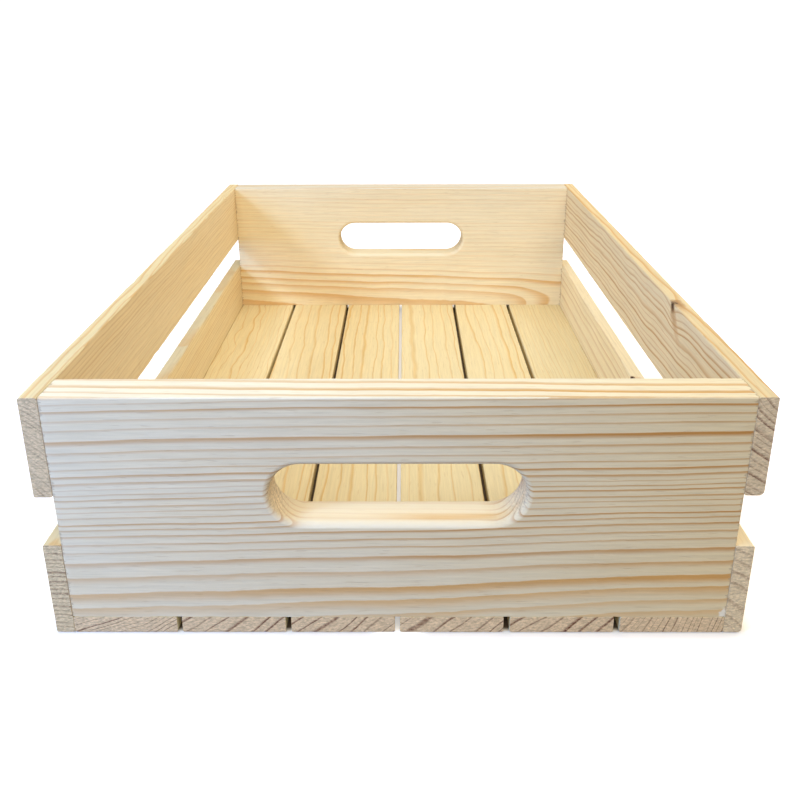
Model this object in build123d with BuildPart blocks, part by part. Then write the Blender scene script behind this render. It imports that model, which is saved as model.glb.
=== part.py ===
"""Shallow wooden apple crate: two end boards with hand slots, four side slats, six floor slats, wire staples.

Millimetres. +Z is up and +Y runs from the front end to the back end.
The origin is on the ground, under the middle of the crate.
"""

from build123d import *
import os

# Crate, measured over the slats
LENGTH = 457.2
WIDTH = 317.5
HEIGHT = 120.0

# Planed slat stock, with its long edges eased
SLAT_THICKNESS = 8.5
ARRIS = 0.8

# Side slats as they were sawn: width, and the radius left on the lower outer edge
SIDE_SLATS = {
    "upper_left": (48.0, ARRIS),
    "upper_right": (47.0, 2.4),
    "lower_left": (47.5, ARRIS),
    "lower_right": (47.0, 1.8),
}

# Floor slats fill the width between the lower side slats, spaced by eye: these are the gaps, left to right
FLOOR_SLAT_WIDTH = 48.0
FLOOR_GAPS = (2.2, 2.5, 2.2, 2.8, 2.8)

# End boards stand on the floor slats, between the side slats
END_BOARD_THICKNESS = 20.0

# Hand slot, routed through each end board and rounded over on both faces
HAND_SLOT_LENGTH = 112.5
HAND_SLOT_HEIGHT = 28.6
HAND_SLOT_BELOW_RIM = 46.8
HAND_SLOT_ROUNDOVER = 3.0

# Narrow-crown wire staple, with chisel points that lean outwards
CROWN_WIDTH = 6.3
LEG_LENGTH = 28.0
WIRE_THICKNESS = 1.05
WIRE_WIDTH = 1.25
OUTER_BEND = 1.2
INNER_BEND = 0.4
CHISEL_POINT = 1.1

# Staples: a pair in each slat end, set below the surface and a little askew
SET_DEPTH = 0.4
SOCKET_OVERRUN = 1.0
STAPLE_FROM_CENTRE_LINE = 12.0
SIDE_STAPLE_FROM_END = 7.0
FLOOR_STAPLE_FROM_END = 12.5
STAPLE_SKEWS = (7, -10)

BOARD_WIDTH = WIDTH - 2 * SLAT_THICKNESS
BOARD_HEIGHT = HEIGHT - SLAT_THICKNESS


def write(part, name):
    """Labels a finished piece and writes it as its own STEP file."""
    part.label = name
    export_step(part, f"parts/{name}.step")


# One staple in its own frame: the wood's surface is Z = 0, the crown runs along X and the legs point down
with BuildPart() as staple:
    with BuildSketch(Plane.XZ) as wire_outline:
        outer = CROWN_WIDTH / 2
        inner = outer - WIRE_THICKNESS
        tip = -SET_DEPTH - LEG_LENGTH
        with BuildLine() as wire_edges:
            outside = FilletPolyline(
                (-outer, tip + CHISEL_POINT),
                (-outer, -SET_DEPTH),
                (outer, -SET_DEPTH),
                (outer, tip + CHISEL_POINT),
                radius=OUTER_BEND,
            )
            inside = FilletPolyline(
                (inner, tip),
                (inner, -SET_DEPTH - WIRE_THICKNESS),
                (-inner, -SET_DEPTH - WIRE_THICKNESS),
                (-inner, tip),
                radius=INNER_BEND,
            )
            Line(outside @ 1, inside @ 0)
            Line(inside @ 1, outside @ 0)
        make_face()
    extrude(amount=WIRE_WIDTH / 2, both=True)

# The room that it takes in the wood: its own shape, and the dent that the driver leaves above the crown
with BuildPart() as staple_socket:
    add(staple.part)
    with BuildSketch(Plane.XY.offset(-SET_DEPTH - WIRE_THICKNESS)) as driver_dent:
        Rectangle(CROWN_WIDTH, WIRE_WIDTH)
    extrude(amount=SET_DEPTH + WIRE_THICKNESS + SOCKET_OVERRUN)


def staple_planes(face_centre, outward, from_end):
    """The planes of the four staples through one slat, two at each end.

    face_centre is the middle of the slat's outer face, and outward is that face's normal.
    """
    across = Vector(0, 1, 0).cross(Vector(outward))
    planes = []
    for end in (-1, 1):
        along = Vector(0, end * (LENGTH / 2 - from_end), 0)
        for side, skew in zip((-1, 1), STAPLE_SKEWS):
            origin = Vector(face_centre) + along + across * (side * STAPLE_FROM_CENTRE_LINE)
            planes.append(Plane(origin, x_dir=across, z_dir=outward).rotated((0, 0, end * skew)))
    return planes


def slat(name, centre, size, planes, round_corner, round_radius=ARRIS):
    """Makes one slat as long as the crate, and its staples, and writes both.

    centre and size are its cross-section's, in X and Z, and round_corner is the corner with the odd radius.
    """
    with BuildPart() as board:
        with BuildSketch(Plane.XZ) as section:
            with Locations(centre):
                Rectangle(*size)
            fillet(section.vertices().sort_by_distance(round_corner)[1:], radius=ARRIS)
            fillet(section.vertices().sort_by_distance(round_corner)[0], radius=round_radius)
        extrude(amount=LENGTH / 2, both=True)
        with Locations(*planes):
            add(staple_socket.part, mode=Mode.SUBTRACT)
    write(board.part, name)

    with BuildPart() as staples:
        with Locations(*planes):
            add(staple.part)
    write(staples.part, f"{name}_staples")


def end_board(name, end, planes):
    """Makes one end board: end is -1 at the front and 1 at the back."""
    with BuildPart() as board:
        with BuildSketch(Plane.XZ.offset(-end * LENGTH / 2)) as face:
            with Locations((0, HEIGHT)):
                Rectangle(BOARD_WIDTH, BOARD_HEIGHT, align=(Align.CENTER, Align.MAX))
            with Locations((0, HEIGHT - HAND_SLOT_BELOW_RIM)):
                SlotOverall(HAND_SLOT_LENGTH, HAND_SLOT_HEIGHT, mode=Mode.SUBTRACT)
        extrude(amount=end * END_BOARD_THICKNESS)
        for broad_face in board.faces().filter_by(Axis.Y):
            fillet(broad_face.inner_wires()[0].edges(), radius=HAND_SLOT_ROUNDOVER)
        rim = board.faces().sort_by(Axis.Z)[-1]
        fillet(rim.edges().filter_by(Axis.X), radius=ARRIS)
        with Locations(*planes):
            add(staple_socket.part, mode=Mode.SUBTRACT)
    write(board.part, name)


os.makedirs("parts", exist_ok=True)
all_planes = []

# Side slats: the upper pair is flush with the rim, the lower pair with the floor slats' underside
for place, (width, lower_outer_radius) in SIDE_SLATS.items():
    height, hand = place.split("_")
    side = -1 if hand == "left" else 1
    low = HEIGHT - width if height == "upper" else 0
    against_board = (max(low, SLAT_THICKNESS) + low + width) / 2
    planes = staple_planes((side * WIDTH / 2, 0, against_board), (side, 0, 0), SIDE_STAPLE_FROM_END)
    slat(
        f"{place}_slat",
        (side * (WIDTH - SLAT_THICKNESS) / 2, low + width / 2),
        (SLAT_THICKNESS, width),
        planes,
        (side * WIDTH / 2, low, 0),
        lower_outer_radius,
    )
    all_planes += planes

# Floor slats, from left to right
left_edge = -BOARD_WIDTH / 2
for number, gap in enumerate((*FLOOR_GAPS, 0), start=1):
    middle = left_edge + FLOOR_SLAT_WIDTH / 2
    planes = staple_planes((middle, 0, 0), (0, 0, -1), FLOOR_STAPLE_FROM_END)
    slat(
        f"floor_slat_{number}",
        (middle, SLAT_THICKNESS / 2),
        (FLOOR_SLAT_WIDTH, SLAT_THICKNESS),
        planes,
        (left_edge, 0, 0),
    )
    all_planes += planes
    left_edge += FLOOR_SLAT_WIDTH + gap

end_board("front_end_board", -1, [plane for plane in all_planes if plane.origin.Y < 0])
end_board("back_end_board", 1, [plane for plane in all_planes if plane.origin.Y > 0])
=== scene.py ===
"""Shallow wooden apple crate: two end boards with hand slots, side slats, floor slats and wire staples."""

from math import pi, radians

import bmesh
import bpy
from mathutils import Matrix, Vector, noise as chance


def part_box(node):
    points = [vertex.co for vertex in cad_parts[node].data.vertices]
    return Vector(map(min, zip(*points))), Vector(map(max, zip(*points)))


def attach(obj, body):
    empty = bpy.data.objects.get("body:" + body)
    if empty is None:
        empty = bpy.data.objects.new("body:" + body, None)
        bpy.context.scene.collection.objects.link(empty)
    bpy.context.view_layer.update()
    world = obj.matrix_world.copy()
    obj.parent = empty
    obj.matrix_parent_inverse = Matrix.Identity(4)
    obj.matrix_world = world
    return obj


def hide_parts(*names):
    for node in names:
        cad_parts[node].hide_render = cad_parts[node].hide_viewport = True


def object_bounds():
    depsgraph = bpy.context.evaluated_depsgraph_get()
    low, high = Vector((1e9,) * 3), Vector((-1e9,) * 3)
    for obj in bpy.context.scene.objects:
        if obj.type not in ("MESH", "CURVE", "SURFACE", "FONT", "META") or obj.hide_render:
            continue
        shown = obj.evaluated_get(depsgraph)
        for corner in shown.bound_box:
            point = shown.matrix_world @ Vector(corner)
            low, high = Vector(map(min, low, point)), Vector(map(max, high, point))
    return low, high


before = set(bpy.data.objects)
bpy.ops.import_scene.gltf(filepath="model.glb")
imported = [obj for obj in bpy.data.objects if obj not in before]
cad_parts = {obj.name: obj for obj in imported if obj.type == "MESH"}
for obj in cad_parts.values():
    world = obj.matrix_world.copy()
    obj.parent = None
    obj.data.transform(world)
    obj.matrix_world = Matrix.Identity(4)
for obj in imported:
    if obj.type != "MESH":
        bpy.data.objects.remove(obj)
cad_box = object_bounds()

# ---------------------------------------------------------------------------
# End boards. Each is one planed pine board about 20 mm thick, which stands on the floor
# slats between the side slats. Its hand slot is routed through and rounded over on both
# faces, and its lines of dark latewood run along it.


def add_node(tree, kind, inputs=None, **settings):
    """Adds a shader node with these settings, and fills its inputs with values or other nodes' outputs."""
    made = tree.nodes.new(kind)
    for name, value in settings.items():
        setattr(made, name, value)
    for name, value in (inputs or {}).items():
        if isinstance(value, bpy.types.NodeSocket):
            tree.links.new(value, made.inputs[name])
        else:
            made.inputs[name].default_value = value
    return made


def maths(tree, operation, a, b=0.0, c=0.0):
    """The output of one Math node."""
    return add_node(tree, "ShaderNodeMath", {0: a, 1: b, 2: c}, operation=operation).outputs[0]


def vector_maths(tree, operation, a, b=(0, 0, 0)):
    """The output of one Vector Math node."""
    made = add_node(tree, "ShaderNodeVectorMath", {0: a, 1: b}, operation=operation)
    return made.outputs["Value" if operation in ("LENGTH", "DOT_PRODUCT") else "Vector"]


def times(tree, vector, factor):
    """A vector made longer or shorter by this factor."""
    inputs = {0: vector, "Scale": factor}
    return add_node(tree, "ShaderNodeVectorMath", inputs, operation="SCALE").outputs[0]


def parts_of(tree, vector):
    """The X, Y and Z outputs of a vector."""
    return add_node(tree, "ShaderNodeSeparateXYZ", {"Vector": vector}).outputs


def blend_value(tree, value, low, high, to_low=0.0, to_high=1.0, smooth=True):
    """Turns the range low to high into to_low to to_high, held at both ends."""
    kind = "SMOOTHSTEP" if smooth else "LINEAR"
    inputs = {"Value": value, "From Min": low, "From Max": high, "To Min": to_low, "To Max": to_high}
    return add_node(tree, "ShaderNodeMapRange", inputs, interpolation_type=kind).outputs["Result"]


def blend_colour(tree, amount, a, b, how="MIX"):
    """The colour output of one Mix node."""
    made = add_node(tree, "ShaderNodeMix", {0: amount, 6: a, 7: b}, data_type="RGBA", blend_type=how)
    return made.outputs[2]


def mix_values(tree, amount, a, b):
    """The value output of one Mix node."""
    return add_node(tree, "ShaderNodeMix", {0: amount, 2: a, 3: b}, data_type="FLOAT").outputs[0]


def grey(tree, value):
    """A grey with this brightness."""
    return add_node(tree, "ShaderNodeCombineColor", {0: value, 1: value, 2: value}).outputs[0]


def noise(tree, point, scale, detail=2.0, roughness=0.5, **settings):
    """The value of one Noise node, 0 to 1."""
    inputs = {"Vector": point, "Scale": scale, "Detail": detail, "Roughness": roughness}
    return add_node(tree, "ShaderNodeTexNoise", inputs, **settings).outputs["Fac"]


def stretched(tree, point, scale, shift=(0.0, 0.0, 0.0)):
    """The point scaled unevenly, so that a pattern read at it is drawn out along the grain."""
    return vector_maths(tree, "ADD", vector_maths(tree, "MULTIPLY", point, scale), shift)


def new_group(name, takes, gives):
    """A shader node group with these inputs and outputs: each takes entry is name: (kind, value)."""
    group = bpy.data.node_groups.new(name, "ShaderNodeTree")
    for label, (kind, value) in takes.items():
        socket = group.interface.new_socket(label, in_out="INPUT", socket_type=kind)
        if value is not None:
            socket.default_value = value
    for label, kind in gives.items():
        group.interface.new_socket(label, in_out="OUTPUT", socket_type=kind)
    return group, group.nodes.new("NodeGroupInput").outputs, group.nodes.new("NodeGroupOutput")


def use_group(tree, group, inputs):
    """Places a node group with its own values, and returns its outputs."""
    return add_node(tree, "ShaderNodeGroup", node_tree=group, inputs=inputs).outputs


FLOAT, VECTOR = "NodeSocketFloat", "NodeSocketVector"
YEAR_END = 0.92  # the share of a ring at which its latewood is darkest


def growth_rings():
    """The log's yearly rings, as solid wood: they are round the heart, which is the Y axis of Point, in mm.

    Latewood darkens slowly through a year's ring and ends sharply at its outer side.
    """
    takes = {
        "Point": (VECTOR, None),
        "Ring Width": (FLOAT, 3.0),
        "Wander": (FLOAT, 3.0),
        "Ripple": (FLOAT, 0.5),
        "Tightest At": (FLOAT, 100.0),
        "Wide Again After": (FLOAT, 40.0),
        "Tightness": (FLOAT, 0.0),
        "Latewood Share": (FLOAT, 0.4),
        "Broad Within": (FLOAT, 0.0),
        "Faint Beyond": (FLOAT, 1000.0),
        "Unevenness": (FLOAT, 1.4),
        "Tree": (FLOAT, 0.0),
        "Push": (FLOAT, 0.0),
    }
    tree, given, out = new_group("growth_rings", takes, {"Latewood": FLOAT, "Year": FLOAT, "Young": FLOAT})
    point = given["Point"]
    sides = {"X": given["Tree"], "Y": given["Tree"], "Z": given["Tree"]}
    offset = add_node(tree, "ShaderNodeCombineXYZ", sides).outputs[0]

    # distance from the heart, with a slow wander and a quick ripple
    slow = stretched(tree, point, (1 / 60, 1 / 260, 1 / 60), offset)
    slow = maths(tree, "SUBTRACT", noise(tree, slow, 1.0, detail=1.0), 0.5)
    quick = stretched(tree, point, (1 / 22, 1 / 44, 1 / 22), offset)
    quick = maths(tree, "SUBTRACT", noise(tree, quick, 1.0, detail=2.0, roughness=0.4), 0.5)
    radius = vector_maths(tree, "LENGTH", vector_maths(tree, "MULTIPLY", point, (1, 0, 1)))
    radius = maths(tree, "MULTIPLY_ADD", slow, given["Wander"], radius)
    radius = maths(tree, "MULTIPLY_ADD", quick, given["Ripple"], radius)
    radius = maths(tree, "ADD", radius, given["Push"])

    # rings are closest together in the poor years round the radius Tightest At
    swing = maths(tree, "SUBTRACT", radius, given["Tightest At"])
    swing = maths(tree, "DIVIDE", swing, given["Wide Again After"])
    swing = maths(tree, "SINE", maths(tree, "MULTIPLY", swing, pi))
    swing = maths(tree, "MULTIPLY", swing, given["Wide Again After"])
    swing = maths(tree, "MULTIPLY", swing, maths(tree, "DIVIDE", given["Tightness"], pi))
    years = maths(tree, "DIVIDE", maths(tree, "ADD", radius, swing), given["Ring Width"])
    one_year = maths(tree, "MULTIPLY_ADD", years, 0.45, given["Tree"])
    inputs = {"W": one_year, "Scale": 1.0, "Detail": 1.0}
    uneven = add_node(tree, "ShaderNodeTexNoise", inputs, noise_dimensions="1D").outputs["Fac"]
    years = maths(tree, "MULTIPLY_ADD", maths(tree, "SUBTRACT", uneven, 0.5), given["Unevenness"], years)

    # each year has its own share of latewood, and young wood near the heart has more
    part_year = maths(tree, "FRACT", years)
    whole_year = maths(tree, "ADD", maths(tree, "FLOOR", years), given["Tree"])
    own_chance = add_node(tree, "ShaderNodeTexWhiteNoise", {"W": whole_year}, noise_dimensions="1D")
    year = own_chance.outputs["Value"]
    young = maths(tree, "MULTIPLY", given["Broad Within"], 1.1)
    young = blend_value(tree, radius, given["Broad Within"], young, 1.0, 0.0, smooth=False)
    share = maths(tree, "MULTIPLY", given["Latewood Share"], maths(tree, "MULTIPLY_ADD", year, 0.6, 0.7))
    share = maths(tree, "MULTIPLY", share, maths(tree, "MULTIPLY_ADD", young, 0.9, 1.0))
    share = maths(tree, "MINIMUM", share, 0.85)
    season = blend_value(tree, part_year, maths(tree, "SUBTRACT", YEAR_END, share), YEAR_END)
    winter = blend_value(tree, part_year, YEAR_END, 1.0, 1.0, 0.0)
    faint = maths(tree, "MULTIPLY", given["Faint Beyond"], 1.25)
    faint = blend_value(tree, radius, given["Faint Beyond"], faint, 1.0, 0.28)
    latewood = maths(tree, "MULTIPLY", maths(tree, "MULTIPLY", season, winter), faint)
    tree.links.new(latewood, out.inputs["Latewood"])
    tree.links.new(year, out.inputs["Year"])
    tree.links.new(young, out.inputs["Young"])
    return tree


def pine_fibre():
    """Fibres and resin canals: fine streaks that run along the grain, Y of Point, in mm."""
    gives = {"Fibre": FLOAT, "Canals": FLOAT, "Cloud": FLOAT}
    tree, given, out = new_group("pine_fibre", {"Point": (VECTOR, None)}, gives)
    point = given["Point"]
    fibre = noise(tree, stretched(tree, point, (0.85, 0.025, 0.85)), 1.0, detail=4.0, roughness=0.7)
    canals = noise(tree, stretched(tree, point, (1.3, 0.11, 1.3), (40, 7, 3)), 1.0, detail=0.0)
    cloud = noise(tree, stretched(tree, point, (1 / 24, 1 / 120, 1 / 24), (5, 2, 9)), 1.0, detail=2.0)
    tree.links.new(fibre, out.inputs["Fibre"])
    tree.links.new(blend_value(tree, canals, 0.70, 0.80), out.inputs["Canals"])
    tree.links.new(cloud, out.inputs["Cloud"])
    return tree


SAW_STROKE = radians(6)


def cut_ends():
    """Where the surface cuts across the grain, and the scratches and open pores that the saw left there."""
    takes = {"Grain": (VECTOR, (0, 1, 0)), "Point": (VECTOR, None)}
    tree, given, out = new_group("cut_ends", takes, {"End": FLOAT, "Scratches": FLOAT, "Pits": FLOAT})
    normal = add_node(tree, "ShaderNodeTexCoord").outputs["Normal"]
    facing = maths(tree, "ABSOLUTE", vector_maths(tree, "DOT_PRODUCT", normal, given["Grain"]))
    inputs = {"Vector": given["Point"], "Rotation": (0, SAW_STROKE, 0)}
    turned = add_node(tree, "ShaderNodeMapping", inputs).outputs[0]
    scratches = noise(tree, stretched(tree, turned, (0.35, 0.4, 2.2)), 1.0, detail=3.0, roughness=0.7)
    pits = noise(tree, stretched(tree, turned, (0.62, 0.9, 1.25)), 1.0, detail=3.0, roughness=0.75)
    tree.links.new(blend_value(tree, facing, 0.3, 0.95), out.inputs["End"])
    tree.links.new(scratches, out.inputs["Scratches"])
    tree.links.new(pits, out.inputs["Pits"])
    return tree


BOARD_HALF_LENGTH = 150.2  # in mm


def torn_ends():
    """Ragged fibres where the saw left a board's two ends, and a splinter at one corner.

    Place and Splinter are in metres, and Half Length in mm.
    """
    takes = {
        "Place": (VECTOR, None),
        "Half Length": (FLOAT, BOARD_HALF_LENGTH),
        "Splinter": (VECTOR, (0, 0, 0)),
    }
    tree, given, out = new_group("torn_ends", takes, {"Teeth": FLOAT, "Splinter": FLOAT})
    point = times(tree, given["Place"], 1000.0)
    inward = maths(tree, "ABSOLUTE", parts_of(tree, point)["X"])
    inward = maths(tree, "SUBTRACT", given["Half Length"], inward)
    teeth = noise(tree, stretched(tree, point, (0.02, 0.3, 0.55)), 1.0, detail=3.0, roughness=0.75)
    teeth = blend_value(tree, teeth, 0.44, 0.72, -0.2, 1.9, smooth=False)
    edge = maths(tree, "SUBTRACT", inward, teeth)
    tree.links.new(blend_value(tree, edge, -0.3, 0.3, 1.0, 0.0), out.inputs["Teeth"])
    away = vector_maths(tree, "SUBTRACT", given["Place"], given["Splinter"])
    away = vector_maths(tree, "LENGTH", stretched(tree, away, (1000, 120, 620)))
    ragged = noise(tree, stretched(tree, point, (0.5, 0.3, 1.4)), 1.0, detail=2.0)
    away = maths(tree, "MULTIPLY_ADD", ragged, 3.4, away)
    tree.links.new(blend_value(tree, away, 2.6, 3.8, 1.0, 0.0), out.inputs["Splinter"])
    return tree


def branch_knot():
    """A branch that grew out of the trunk and pushed the rings aside.

    It starts at Root and runs Towards its tip for its Length. All of its measures are in mm.
    """
    takes = {
        "Point": (VECTOR, None),
        "Root": (VECTOR, (0, 0, 0)),
        "Towards": (VECTOR, (1, 0, 0)),
        "Thickness": (FLOAT, 6.0),
        "Length": (FLOAT, 100.0),
        "Reach": (FLOAT, 14.0),
        "Shove": (FLOAT, 6.0),
        "Darkness": (FLOAT, 1.0),
    }
    tree, given, out = new_group("branch_knot", takes, {"Heartwood": FLOAT, "Bark": FLOAT, "Push": FLOAT})

    # distance from the branch's middle line, as the branch tapers and its outline wobbles
    away = vector_maths(tree, "SUBTRACT", given["Point"], given["Root"])
    heading = vector_maths(tree, "NORMALIZE", given["Towards"])
    along = vector_maths(tree, "DOT_PRODUCT", away, heading)
    held = blend_value(tree, along, 0.0, given["Length"], 0.0, given["Length"], smooth=False)
    off = vector_maths(tree, "SUBTRACT", away, times(tree, heading, held))
    wobble = maths(tree, "SUBTRACT", noise(tree, given["Point"], 0.42, detail=4.0, roughness=0.65), 0.5)
    taper = blend_value(tree, along, 0.0, given["Length"], 1.0, 0.5, smooth=False)
    near = maths(tree, "DIVIDE", vector_maths(tree, "LENGTH", off), taper)
    near = maths(tree, "MULTIPLY_ADD", wobble, maths(tree, "MULTIPLY", given["Thickness"], 0.75), near)

    # dark heartwood inside a thin ring of bark, both fading towards the tip
    fade_from = maths(tree, "MULTIPLY", given["Length"], 0.15)
    fade = blend_value(tree, along, fade_from, given["Length"], 1.0, 0.0)
    size = maths(tree, "MULTIPLY", given["Thickness"], 0.5)
    core = maths(tree, "MULTIPLY", size, 0.4)
    rind = maths(tree, "MULTIPLY", size, 1.4)
    heartwood = blend_value(tree, near, core, rind, 1.0, 0.0)
    heartwood = maths(tree, "MULTIPLY", heartwood, maths(tree, "MULTIPLY_ADD", fade, 0.95, 0.05))
    from_rind = maths(tree, "SUBTRACT", near, maths(tree, "MULTIPLY", size, 0.95))
    from_rind = maths(tree, "ABSOLUTE", from_rind)
    bark = blend_value(tree, from_rind, 0.1, maths(tree, "MULTIPLY", size, 0.35), 1.0, 0.0)
    bark = maths(tree, "MULTIPLY", bark, maths(tree, "POWER", fade, 4.0))
    bark_darkness = maths(tree, "POWER", given["Darkness"], 4.0)

    # the rings bend round it, further along the grain than across
    long_way = vector_maths(tree, "LENGTH", vector_maths(tree, "MULTIPLY", off, (1, 0.45, 1)))
    fall = maths(tree, "POWER", maths(tree, "DIVIDE", long_way, given["Reach"]), 2.0)
    fall = maths(tree, "EXPONENT", maths(tree, "MULTIPLY", fall, -1.0))
    tree.links.new(maths(tree, "MULTIPLY", heartwood, given["Darkness"]), out.inputs["Heartwood"])
    tree.links.new(maths(tree, "MULTIPLY", bark, bark_darkness), out.inputs["Bark"])
    tree.links.new(maths(tree, "MULTIPLY", fall, given["Shove"]), out.inputs["Push"])
    return tree


RINGS, FIBRE, CUT, TORN, KNOT = growth_rings(), pine_fibre(), cut_ends(), torn_ends(), branch_knot()


def branches(tree, place, knots):
    """Places every knot of one board, and returns their joint push, heartwood and bark.

    Each knot is where its branch starts and ends, in metres, its thickness, how far round and how much it
    pushes the rings, in mm, and its darkness.
    """
    millimetres = times(tree, place, 1000.0)
    push, heartwood, bark = 0.0, None, None
    for root, tip, thickness, reach, shove, darkness in knots:
        branch = (Vector(tip) - Vector(root)) * 1000
        inputs = {
            "Point": millimetres, "Root": Vector(root) * 1000, "Towards": branch, "Length": branch.length,
            "Thickness": thickness, "Reach": reach, "Shove": shove, "Darkness": darkness,
        }
        knot = use_group(tree, KNOT, inputs)
        push = maths(tree, "ADD", knot["Push"], push)
        heartwood = maths(tree, "MAXIMUM", knot["Heartwood"], heartwood) if heartwood else knot["Heartwood"]
        bark = maths(tree, "MAXIMUM", knot["Bark"], bark) if bark else knot["Bark"]
    return push, heartwood, bark


# the pale cream painted on a slot's lower walls as painted light, and the colour of the band of grain along
# its floor
SLOT_PAINTED_LIGHT = (0.95, 0.86, 0.66, 1)
ROUTED_BAND = (0.84, 0.57, 0.27, 1)


def slot_walls(tree, colour, place, cloud, slot):
    """Painted light on a hand slot's lower walls: a pale cream laid over the wood, less of it at the slot's
    ends and on its upper roundover, which are left darker as painted shade, with one broad soft band of
    grain along its floor.

    slot is the height of its middle, in metres, its straight half length and its radius over the roundover,
    in mm, and how far along the crate the band is, in metres.
    """
    height, straight, radius, band_at = slot
    at = parts_of(tree, place)
    away = vector_maths(tree, "SUBTRACT", place, (0, 0, height))
    away = vector_maths(tree, "ABSOLUTE", vector_maths(tree, "MULTIPLY", away, (1000, 0, 1000)))
    away = vector_maths(tree, "MAXIMUM", vector_maths(tree, "SUBTRACT", away, (straight, 0, 0)), (0, 0, 0))
    # painted light over the slot's walls and roundovers, fading out at their outer edge
    slot_painted_light = blend_value(tree, vector_maths(tree, "LENGTH", away), radius - 0.9, radius, 0.76, 0.0)
    # painted shade: less painted light at the slot's two ends
    middle = maths(tree, "ABSOLUTE", at["X"])
    middle = blend_value(tree, middle, straight / 1000 - 0.006, straight / 1000 + 0.008, 1.0, 0.25)
    slot_painted_light = maths(tree, "MULTIPLY", slot_painted_light, middle)
    # painted shade: little painted light above the slot's middle height, on the upper roundover
    slot_painted_light = maths(tree, "MULTIPLY", slot_painted_light, blend_value(tree, at["Z"], 0.066, 0.076, 1.0, 0.1))
    meander = maths(tree, "MULTIPLY", maths(tree, "SUBTRACT", cloud, 0.5), 0.008)
    band = maths(tree, "SUBTRACT", maths(tree, "ADD", at["Y"], meander), band_at)
    band = blend_value(tree, maths(tree, "ABSOLUTE", band), 0.0004, 0.0036, 1.0, 0.0)
    band = maths(tree, "MULTIPLY", band, blend_value(tree, at["X"], -0.02, 0.02, 0.12, 0.9))
    return blend_colour(tree, slot_painted_light, colour, blend_colour(tree, band, SLOT_PAINTED_LIGHT, ROUTED_BAND))


ARRIS = 0.0008
YOUNG_LATEWOOD = (0.74, 0.45, 0.18, 1)
RIM_LATEWOOD = (0.73, 0.43, 0.15, 1)
WARM_CLOUD = (1.0, 0.95, 0.86, 1)
RESIN = (0.40, 0.20, 0.07, 1)
SAWN_LATEWOOD = (0.16, 0.048, 0.022, 1)
TORN_FIBRE = (0.46, 0.35, 0.23, 1)
SPLIT_WOOD = (0.86, 0.79, 0.66, 1)
KNOT_OUTSIDE = (0.64, 0.34, 0.13, 1)
KNOT_HEART = (0.06, 0.020, 0.012, 1)
KNOT_BARK = (0.035, 0.013, 0.008, 1)


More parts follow.
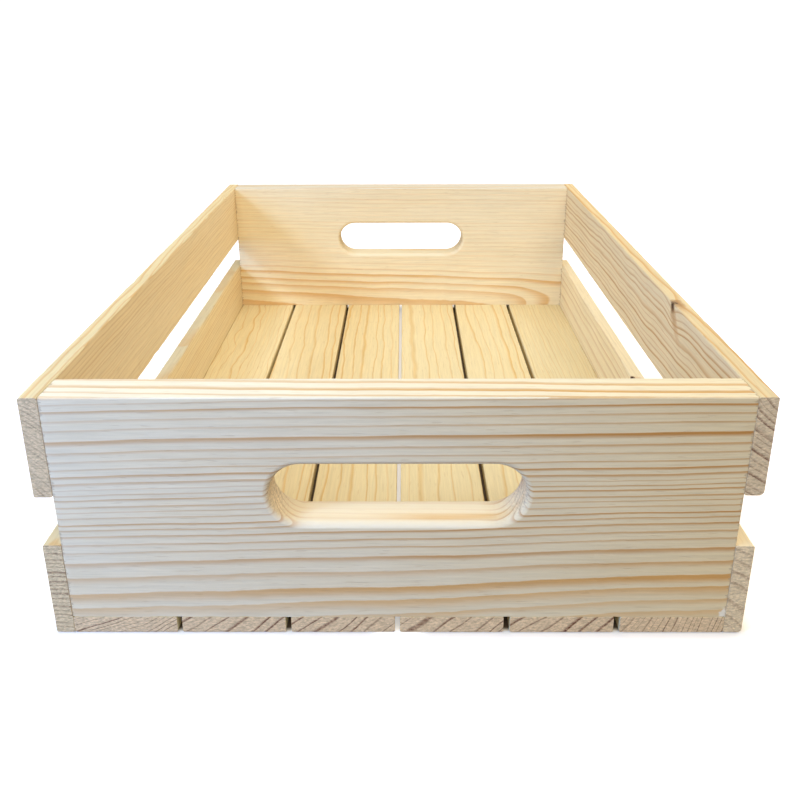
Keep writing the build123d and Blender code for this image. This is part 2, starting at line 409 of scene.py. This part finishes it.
def pine(
    name, heart, lean, grain, pale, honey, end_tone, rings, contrast, end_lines, knots=(), slot=None,
    splinter=None, richer=None, rim=None,
):
    """Raw planed pine, as solid wood.

    heart is a point on the log's heart, in metres, and lean turns the Y axis along it, in degrees. pale and
    honey are the colours of earlywood and latewood, and end_tone darkens pale on a sawn end. contrast and
    end_lines are how strong the rings read on a planed face and on a sawn end. knots are as in branches,
    and slot is as in slot_walls. splinter is where a corner is split, in metres. richer is a warmer, darker
    tone laid over the wood towards its right end, where its lines are made stronger too: in part the wood's
    own tone, in part painted light, as the left end is kept paler, greyer and fainter-lined, as under the
    window light from the left. rim is a tone of its own for the pale wood along the upper edge, how much
    broader its lines are there, and the edge's height, in metres; a rim tone darker than pale is painted
    shade on that edge.
    """
    material = bpy.data.materials.new(name)
    material.use_nodes = True
    tree = material.node_tree
    shader = tree.nodes["Principled BSDF"]
    place = add_node(tree, "ShaderNodeTexCoord").outputs["Object"]
    turn = tuple(radians(angle) for angle in lean)
    inputs = {"Vector": place, "Location": heart, "Rotation": turn, "Scale": (0.001, 0.001, 0.001)}
    point = add_node(tree, "ShaderNodeMapping", inputs, vector_type="TEXTURE").outputs[0]
    push, heartwood, bark = branches(tree, place, knots)
    growth = use_group(tree, RINGS, {"Point": point, "Push": push, **rings})
    fibre = use_group(tree, FIBRE, {"Point": point})
    cut = use_group(tree, CUT, {"Grain": grain, "Point": point})

    # planed faces
    strength = blend_value(tree, growth["Year"], 0.0, 1.0, 0.45 * contrast, 1.0 * contrast, smooth=False)
    late = maths(tree, "MULTIPLY", growth["Latewood"], strength)
    late = maths(tree, "MULTIPLY", late, blend_value(tree, fibre["Cloud"], 0.25, 0.75, 0.75, 1.1))
    light_wood = (*pale, 1)
    youth = maths(tree, "MULTIPLY", growth["Young"], 0.8)
    dark_wood = blend_colour(tree, youth, (*honey, 1), YOUNG_LATEWOOD)
    at = parts_of(tree, place)
    # the upper edge: its own pale tone, its own latewood colour and broader lines; a rim tone darker than
    # pale is painted shade on the edge
    if rim:
        rim_pale, broader, rim_height = rim
        at_rim = blend_value(tree, at["Z"], rim_height - ARRIS, rim_height - 0.0002)
        light_wood = blend_colour(tree, at_rim, light_wood, (*rim_pale, 1))
        dark_wood = blend_colour(tree, at_rim, dark_wood, RIM_LATEWOOD)
        broad = maths(tree, "POWER", maths(tree, "MULTIPLY", growth["Latewood"], strength), 0.5)
        late = mix_values(tree, maths(tree, "MULTIPLY", at_rim, broader), late, broad)
    # towards the right end the lines are stronger and the tone warmer and darker: partly the wood, partly
    # painted light, the left end kept paler and greyer as under the window light
    if richer:
        late = maths(tree, "MULTIPLY", late, blend_value(tree, at["X"], -0.16, 0.10, 0.58, 1.0))
    colour = blend_colour(tree, late, light_wood, dark_wood)
    if richer:
        rightwards = blend_value(tree, at["X"], -0.06, 0.17)
        colour = blend_colour(tree, rightwards, colour, (*richer, 1), "MULTIPLY")
    warm = blend_value(tree, fibre["Cloud"], 0.3, 0.7, 0.0, 0.5)
    colour = blend_colour(tree, warm, colour, WARM_CLOUD, "MULTIPLY")
    streak = blend_value(tree, fibre["Fibre"], 0.3, 0.7, 0.90, 1.06, smooth=False)
    colour = blend_colour(tree, 1.0, colour, grey(tree, streak), "MULTIPLY")
    colour = blend_colour(tree, maths(tree, "MULTIPLY", fibre["Canals"], 0.13), colour, RESIN)

    # sawn ends
    end = blend_colour(tree, 1.0, (*pale, 1), (*end_tone, 1), "MULTIPLY")
    dark = maths(tree, "MULTIPLY", maths(tree, "POWER", growth["Latewood"], 0.9), strength)
    broken = blend_value(tree, cut["Pits"], 0.3, 0.7, 1.15, 0.45, smooth=False)
    dark = maths(tree, "MULTIPLY", maths(tree, "MULTIPLY", dark, end_lines), broken)
    end = blend_colour(tree, dark, end, SAWN_LATEWOOD)
    rough_cut = blend_value(tree, cut["Scratches"], 0.33, 0.67, 0.84, 1.18, smooth=False)
    pitted = blend_value(tree, cut["Pits"], 0.3, 0.7, 0.74, 1.32, smooth=False)
    end = blend_colour(tree, 1.0, end, grey(tree, maths(tree, "MULTIPLY", rough_cut, pitted)), "MULTIPLY")
    colour = blend_colour(tree, cut["End"], colour, end)

    # painted light on a slot's walls, broken fibres and knots
    if slot:
        colour = slot_walls(tree, colour, place, fibre["Cloud"], slot)
    if splinter:
        torn = use_group(tree, TORN, {"Place": place, "Splinter": splinter})
        colour = blend_colour(tree, maths(tree, "MULTIPLY", torn["Teeth"], 0.6), colour, TORN_FIBRE)
        colour = blend_colour(tree, torn["Splinter"], colour, SPLIT_WOOD)
    if knots:
        knot = blend_colour(tree, maths(tree, "POWER", heartwood, 2.0), KNOT_OUTSIDE, KNOT_HEART)
        colour = blend_colour(tree, maths(tree, "POWER", heartwood, 0.7), colour, knot)
        colour = blend_colour(tree, maths(tree, "MULTIPLY", bark, 0.7), colour, KNOT_BARK)

    # relief and sheen
    planed = maths(tree, "MULTIPLY_ADD", fibre["Fibre"], 0.5, maths(tree, "MULTIPLY", late, 0.35))
    planed = maths(tree, "SUBTRACT", planed, maths(tree, "MULTIPLY", fibre["Canals"], 0.3))
    sawn = maths(tree, "MULTIPLY_ADD", cut["Scratches"], 1.6, maths(tree, "MULTIPLY", cut["Pits"], 0.8))
    height = mix_values(tree, cut["End"], planed, sawn)
    bump = add_node(tree, "ShaderNodeBump", {"Height": height, "Strength": 0.6, "Distance": 0.00025})
    smooth_wood = blend_value(tree, late, 0.0, 1.0, 0.60, 0.46, smooth=False)
    tree.links.new(colour, shader.inputs["Base Color"])
    tree.links.new(mix_values(tree, cut["End"], smooth_wood, 0.85), shader.inputs["Roughness"])
    tree.links.new(bump.outputs[0], shader.inputs["Normal"])
    shader.inputs["Specular IOR Level"].default_value = 0.35
    return material


def finish_with(piece, material):
    """Gives a piece its material."""
    piece.data.materials.clear()
    piece.data.materials.append(material)


CUT_SPACING = 0.0022
SAWN_BEVEL = 0.00008
WEAR_REACH = 0.0013
END_SHARE = 0.3
TOUCHING = 0.00002


def wear_at(tree_number, pair, spot, run):
    """How deep an arris is worn at this spot, as a share of the bite. It is the same in each run."""
    seed = Vector((tree_number, spot[pair[0]] * 3, spot[pair[1]] * 3))
    rubbed = chance.noise(seed + Vector((run * 160, 0, 0)))
    rubbed += 0.6 * chance.noise(seed + Vector((run * 520, 5, 0)))
    nick = max(0.0, chance.noise(seed + Vector((run * 75, 9, 3))) - 0.45) * 4
    return 0.35 + 0.5 * max(-0.7, rubbed) + nick


def weathered_board(node, axis, cut_faces, bite, tree_number):
    """Copies a board's solid, eases its sawn edges, and bites unevenly into its arrises.

    axis is the one that its grain runs along, and the board is cut across it every CUT_SPACING. cut_faces
    are the faces of its box with sharp sawn edges, as (axis, side). bite is in metres, and a sawn end has
    END_SHARE of it.
    """
    board = bmesh.new()
    board.from_mesh(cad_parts[node].data)
    bmesh.ops.remove_doubles(board, verts=board.verts, dist=0.000002)
    bmesh.ops.dissolve_limit(board, angle_limit=radians(0.5), verts=board.verts, edges=board.edges)
    low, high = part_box(node)

    def depth(spot, at, side):
        return spot[at] - low[at] if side < 0 else high[at] - spot[at]

    def shallowest(spot, at):
        return min(depth(spot, at, -1), depth(spot, at, 1))

    def on_a_cut_face(edge):
        return any(all(depth(vert.co, at, side) < 0.00001 for vert in edge.verts) for at, side in cut_faces)

    def box_faces_met(edge):
        return sum(shallowest(vert.co, at) < TOUCHING for vert in edge.verts for at in range(3))

    sharp = [
        edge for edge in board.edges
        if edge.calc_face_angle(0) > radians(60) and on_a_cut_face(edge) and box_faces_met(edge) > 3
    ]
    bmesh.ops.bevel(
        board, geom=sharp, offset=SAWN_BEVEL, segments=2, profile=0.5, affect="EDGES", material=-1,
    )

    middle, half = (low[axis] + high[axis]) / 2, (high[axis] - low[axis]) / 2
    across = Vector([1.0 if at == axis else 0.0 for at in range(3)])
    count = 2 * int(half / CUT_SPACING)
    for cut in range(1, count):
        spot = across * (middle + half * (cut / count * 2 - 1))
        geometry = board.verts[:] + board.edges[:] + board.faces[:]
        bmesh.ops.bisect_plane(board, geom=geometry, plane_co=spot, plane_no=across, dist=TOUCHING)

    side_a, side_b = [at for at in range(3) if at != axis]
    for vert in board.verts:
        spot = vert.co.copy()
        for pair, deepest in (
            ((side_a, side_b), bite),
            ((axis, side_a), bite * END_SHARE),
            ((axis, side_b), bite * END_SHARE),
        ):
            gap = Vector([shallowest(spot, at) for at in pair]).length
            near = 1 - min(1.0, gap / WEAR_REACH)
            if near <= 0:
                continue
            run = spot[3 - sum(pair)]
            inward = near * deepest * wear_at(tree_number, pair, spot, run)
            for at in pair:
                vert.co[at] += inward if depth(spot, at, -1) < depth(spot, at, 1) else -inward
    for face in board.faces:
        face.smooth = True
    for edge in board.edges:
        edge.smooth = edge.calc_face_angle(0) < radians(38)
    piece = bpy.data.objects.new(f"{node}_worn", bpy.data.meshes.new(f"{node}_worn"))
    board.to_mesh(piece.data)
    board.free()
    bpy.context.collection.objects.link(piece)
    piece.modifiers.new("even_light", "WEIGHTED_NORMAL").keep_sharp = True
    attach(piece, "root")
    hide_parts(node)
    return piece


SLOT = (0.0732, 41.95, 17.3)
CRATE_TOP = 0.120
BOARD_BITE = 0.0003
front_pine = pine(
    "front_board_pine", heart=(0, -0.134, -0.029), lean=(0, 0, -91.3), grain=(1, 0, 0),
    pale=(0.79, 0.69, 0.51), honey=(0.55, 0.28, 0.09), end_tone=(0.88, 0.82, 0.76),
    contrast=1.25, end_lines=0.5,
    rings={
        "Ring Width": 2.7, "Wander": 4.0, "Ripple": 1.1, "Tightest At": 137.0, "Wide Again After": 25.0,
        "Tightness": 0.36, "Latewood Share": 0.42, "Broad Within": 106.0, "Unevenness": 0.6, "Tree": 3.0,
    },
    slot=(*SLOT, -0.2222), splinter=(0.149, -0.2286, 0.0105),
    # richer: a warmer, darker right end with stronger lines, partly the wood and partly painted light, the
    # left end kept paler as under the window light
    richer=(0.98, 0.92, 0.78), rim=((0.96, 0.91, 0.78), 1.0, CRATE_TOP),
)
back_pine = pine(
    "back_board_pine", heart=(0, 0.249, 0.002), lean=(0, 0, -88.9), grain=(1, 0, 0),
    pale=(0.93, 0.82, 0.60), honey=(0.76, 0.46, 0.18), end_tone=(0.84, 0.78, 0.70),
    contrast=1.15, end_lines=0.5,
    rings={
        "Ring Width": 3.6, "Wander": 6.0, "Ripple": 1.6, "Tightest At": 92.0, "Wide Again After": 44.0,
        "Tightness": 0.15, "Latewood Share": 0.46, "Broad Within": 46.0, "Faint Beyond": 52.0,
        "Unevenness": 0.5, "Tree": 11.0,
    },
    knots=[((0.150, 0.212, -0.020), (0.150, 0.245, -0.020), 14.0, 38.0, 14.0, 1.0)],
    slot=(*SLOT, 0.2222), splinter=(-0.149, 0.2286, 0.0105),
    # its darker rim tone is painted shade on the top edge
    rim=((0.76, 0.72, 0.63), 0.5, CRATE_TOP),
)
ENDS_AND_FOOT = ((0, -1), (0, 1), (2, -1))
for node, wood, tree_number in (("front_end_board", front_pine, 2.0), ("back_end_board", back_pine, 8.0)):
    board = weathered_board(node, 0, ENDS_AND_FOOT, BOARD_BITE, tree_number)
    finish_with(board, wood)

# ---------------------------------------------------------------------------
# Side slats. Thin planed pine slats, sawn to length and stapled to the end boards, two on
# each side with an open gap between them. Each was cut from a log of its own.

SAWN_ENDS = ((1, -1), (1, 1))
SLAT_BITE = 0.00025
side_slats = {
    "upper_left_slat": {
        "heart": (-0.215, 0, 0.030), "lean": (0.4, 0, 0.3), "pale": (0.85, 0.71, 0.48),
        "contrast": 0.5, "end_lines": 0.8,
        "rings": {"Ring Width": 1.8, "Ripple": 2.5, "Tree": 21.0},
        "rim": ((0.84, 0.73, 0.48), 0.9, CRATE_TOP),
        "knots": [((-0.1500, 0.178, 0.130), (-0.1500, 0.178, 0.1185), 2.6, 5.0, 2.5, 0.9)],
    },
    "lower_left_slat": {
        "heart": (-0.160, 0, -0.080), "lean": (0.3, 0, -0.5), "pale": (0.87, 0.74, 0.49),
        "contrast": 0.6, "end_lines": 1.2,
        "rings": {"Ring Width": 2.2, "Ripple": 2.0, "Tree": 27.0},
        # its darker rim tone is painted shade from the upper slat over its top edge
        "rim": ((0.77, 0.66, 0.43), 0.0, 0.0475),
    },
    "upper_right_slat": {
        "heart": (0.205, 0, 0.165), "lean": (-0.6, 0, 0.5), "pale": (0.88, 0.75, 0.53),
        "contrast": 1.2, "end_lines": 0.8,
        "rings": {"Ring Width": 3.1, "Ripple": 4.0, "Tree": 33.0},
        "rim": ((0.84, 0.69, 0.43), 0.0, CRATE_TOP),
        "knots": [
            ((0.1503, -0.1085, 0.1183), (0.1500, -0.1125, 0.1110), 5.2, 6.0, -1.8, 1.0),
            ((0.1524, -0.1060, 0.1203), (0.1530, -0.1290, 0.1198), 5.4, 8.0, 0.0, 0.66),
            ((0.1503, -0.1095, 0.1150), (0.1495, -0.1270, 0.0990), 7.5, 7.0, -1.0, 0.52),
        ],
    },
    "lower_right_slat": {
        "heart": (0.112, 0, -0.033), "lean": (0.4, 0, 0.3), "pale": (0.95, 0.83, 0.59),
        "contrast": 0.6, "end_lines": 1.0,
        "rings": {"Ring Width": 6.0, "Ripple": 3.0, "Tree": 38.0},
        "knots": [
            ((0.1504, -0.0450, 0.0462), (0.1500, -0.0540, 0.0440), 3.8, 8.0, 3.0, 1.0),
            ((0.1530, -0.0500, 0.0472), (0.1505, -0.0430, 0.0450), 10.0, 8.0, 0.0, 0.5),
        ],
    },
}
for node, own in side_slats.items():
    own["rings"] |= {"Wander": 8.0, "Latewood Share": 0.42}
    slat_pine = pine(
        f"{node}_pine", grain=(0, 1, 0), honey=(0.60, 0.36, 0.16), end_tone=(0.77, 0.70, 0.635), **own,
    )
    slat = weathered_board(node, 1, SAWN_ENDS, SLAT_BITE, own["rings"]["Tree"])
    finish_with(slat, slat_pine)

# ---------------------------------------------------------------------------
# Floor slats. Six planed pine slats, most of them flat-sawn, so that their faces show
# long wavy lines. They almost touch, and are stapled up into the end boards.

for number, heart_left, heart_up, width, tree_number in (
    (1, 0.074, 0.200, 1.9, 51.0),
    (2, 0.066, 0.090, 5.5, 54.0),
    (3, 0.066, 0.085, 5.0, 57.0),
    (4, 0.082, 0.094, 5.6, 61.0),
    (5, 0.074, 0.086, 6.0, 66.0),
    (6, 0.145, 0.060, 2.6, 70.0),
):
    node = f"floor_slat_{number}"
    low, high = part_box(node)
    middle = (low[0] + high[0]) / 2
    slat_pine = pine(
        f"{node}_pine", heart=(middle - heart_left, 0, heart_up), lean=(0.3, 0, 0.35 * (-1) ** number),
        grain=(0, 1, 0), pale=(0.865, 0.755, 0.49), honey=(0.74, 0.48, 0.16), end_tone=(0.83, 0.70, 0.655),
        contrast=0.8, end_lines=1.45,
        rings={
            "Ring Width": width, "Wander": 9.0, "Ripple": 4.4, "Latewood Share": 0.17, "Tree": tree_number,
        },
    )
    slat = weathered_board(node, 1, SAWN_ENDS, SLAT_BITE, tree_number)
    finish_with(slat, slat_pine)

# ---------------------------------------------------------------------------
# Staples. Narrow-crown galvanised steel wire, driven a little below the wood's
# surface, a pair through each end of every slat into the end boards.


def galvanised_wire():
    """Zinc-plated steel wire: bright where the driver rubbed it, dull and mottled elsewhere."""
    material = bpy.data.materials.new("staple_wire")
    material.use_nodes = True
    tree = material.node_tree
    shader = tree.nodes["Principled BSDF"]
    place = add_node(tree, "ShaderNodeTexCoord").outputs["Object"]
    mottle = blend_value(tree, noise(tree, place, 2200.0, detail=3.0), 0.35, 0.65)
    colour = blend_colour(tree, mottle, (0.50, 0.51, 0.52, 1), (0.74, 0.74, 0.73, 1))
    drawn = noise(tree, stretched(tree, place, (900, 9000, 9000)), 1.0, detail=2.0)
    rough = blend_value(tree, drawn, 0.3, 0.7, 0.28, 0.5, smooth=False)
    bump = add_node(tree, "ShaderNodeBump", {"Height": drawn, "Strength": 0.3, "Distance": 0.00005})
    tree.links.new(colour, shader.inputs["Base Color"])
    tree.links.new(rough, shader.inputs["Roughness"])
    tree.links.new(bump.outputs[0], shader.inputs["Normal"])
    shader.inputs["Metallic"].default_value = 1.0
    return material


wire = galvanised_wire()
for node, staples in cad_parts.items():
    if node.endswith("_staples"):
        finish_with(staples, wire)

# ---------------------------------------------------------------------------
# Studio. A sheet of white paper for a floor, broad warm lights overhead, behind and at the
# sides, and cool ones from the front left, as beside a window.

# the paper's painted shade under the crate, and its tones beside the crate and further off
PAPER_PAINTED_SHADE = (0.16, 0.125, 0.10, 1)
PAPER_BESIDE = (0.97, 0.95, 0.95, 1)
PAPER_FAR_OFF = (0.95, 0.97, 1.17, 1)
bpy.ops.mesh.primitive_plane_add(size=60, location=(0, 0, -0.0004))
ground = bpy.context.object
ground.name = "studio_floor"
paper = bpy.data.materials.new("white_paper")
paper.use_nodes = True
tree = paper.node_tree
tree.nodes.remove(tree.nodes["Principled BSDF"])
place = vector_maths(tree, "ABSOLUTE", add_node(tree, "ShaderNodeTexCoord").outputs["Object"])
sideways = parts_of(tree, place)["X"]
outside = parts_of(tree, vector_maths(tree, "SUBTRACT", place, (*cad_box[1].xy, 0)))
outside = maths(tree, "MAXIMUM", outside["X"], outside["Y"])

# painted shade and painted light: under the crate the paper is painted dark, but for a strip below the
# middle gap that glows; beside the crate the paper glows to stay white, but less within 9 mm of the crate,
# which paints a thin contact shadow
glow_beside = blend_value(tree, outside, -0.001, 0.009, 0.0, 0.40)
glow_below = blend_value(tree, sideways, 0.006, 0.016, 0.48, 0.0)
lit = maths(tree, "MAXIMUM", glow_beside, glow_below)
open_to_light = blend_value(tree, outside, -0.004, -0.001)
open_to_light = maths(tree, "MAXIMUM", open_to_light, blend_value(tree, sideways, 0.006, 0.016, 1.0, 0.0))
far = blend_value(tree, outside, 0.01, 0.10)
sheet = blend_colour(tree, far, PAPER_BESIDE, PAPER_FAR_OFF)
sheet = blend_colour(tree, open_to_light, PAPER_PAINTED_SHADE, sheet)
glow = add_node(tree, "ShaderNodeEmission", {"Color": (1.0, 0.98, 0.95, 1), "Strength": lit})
matt = add_node(tree, "ShaderNodeBsdfDiffuse", {"Color": sheet})
seen = add_node(tree, "ShaderNodeAddShader", {0: matt.outputs[0], 1: glow.outputs[0]})
unseen = add_node(tree, "ShaderNodeBsdfDiffuse", {"Color": (0.36, 0.35, 0.34, 1)})
camera_ray = add_node(tree, "ShaderNodeLightPath").outputs["Is Camera Ray"]
inputs = {0: camera_ray, 1: unseen.outputs[0], 2: seen.outputs[0]}
mixed = add_node(tree, "ShaderNodeMixShader", inputs)
tree.links.new(mixed.outputs[0], tree.nodes["Material Output"].inputs["Surface"])
ground.data.materials.append(paper)


def lamp(name, kind, place, aim, energy, colour, **settings):
    """Adds a light at place, pointing at aim."""
    data = bpy.data.lights.new(name, kind)
    data.energy, data.color = energy, colour
    for key, value in settings.items():
        setattr(data, key, value)
    light = bpy.data.objects.new(name, data)
    bpy.context.collection.objects.link(light)
    light.location = place
    light.rotation_euler = (Vector(place) - Vector(aim)).to_track_quat("Z", "Y").to_euler()


WARM = (1.0, 0.90, 0.72)
lamp("ceiling", "SUN", (0.1, -0.74, 1), (0, 0, 0), 1.52, (1.0, 0.90, 0.70), angle=radians(50))
lamp("softbox", "AREA", (0.10, 0.50, 0.85), (0, -0.12, 0), 1.7, WARM, size=0.8)
lamp("right_wall", "AREA", (0.85, 0.32, 0.50), (-0.1, 0.05, 0.06), 3.6, WARM, size=0.6)
lamp("left_wall", "AREA", (-0.75, 0.30, 0.80), (0.15, -0.05, 0.05), 1.7, (1.0, 0.91, 0.74), size=0.6)
lamp("window", "AREA", (-0.80, -0.60, 0.66), (-0.05, 0, 0.06), 4.6, (0.50, 0.74, 1.0), size=0.2)
lamp("open_sky", "AREA", (-0.46, -0.60, 0.20), (-0.15, -0.23, 0.06), 2.3, (0.10, 0.34, 1.0), size=0.34)

world = bpy.data.worlds.new("studio")
bpy.context.scene.world = world
world.use_nodes = True
tree = world.node_tree
sky = add_node(tree, "ShaderNodeBackground", {"Color": (1.0, 0.94, 0.84, 1), "Strength": 0.33})
white = add_node(tree, "ShaderNodeBackground", {"Color": (1, 1, 1, 1), "Strength": 1.1})
camera_ray = add_node(tree, "ShaderNodeLightPath").outputs["Is Camera Ray"]
mixed = add_node(tree, "ShaderNodeMixShader", {0: camera_ray, 1: sky.outputs[0], 2: white.outputs[0]})
tree.links.new(mixed.outputs[0], tree.nodes["World Output"].inputs["Surface"])
bpy.context.scene.view_settings.view_transform = "Standard"

# ---------------------------------------------------------------------------
# Camera. About 0.3 m in front of the crate and 0.15 m above its rim, tilted down to look
# over the front board at the floor slats.

camera_data = bpy.data.cameras.new("camera")
camera_data.lens = 37.88
camera_data.sensor_width = 36
camera_data.shift_y = -0.101
camera = bpy.data.objects.new("camera", camera_data)
camera.location = (0.0029, -0.5454, 0.2711)
camera.rotation_euler = (radians(69.83), radians(0.17), radians(0.24))
bpy.context.collection.objects.link(camera)
bpy.context.scene.camera = camera

bpy.context.view_layer.update()
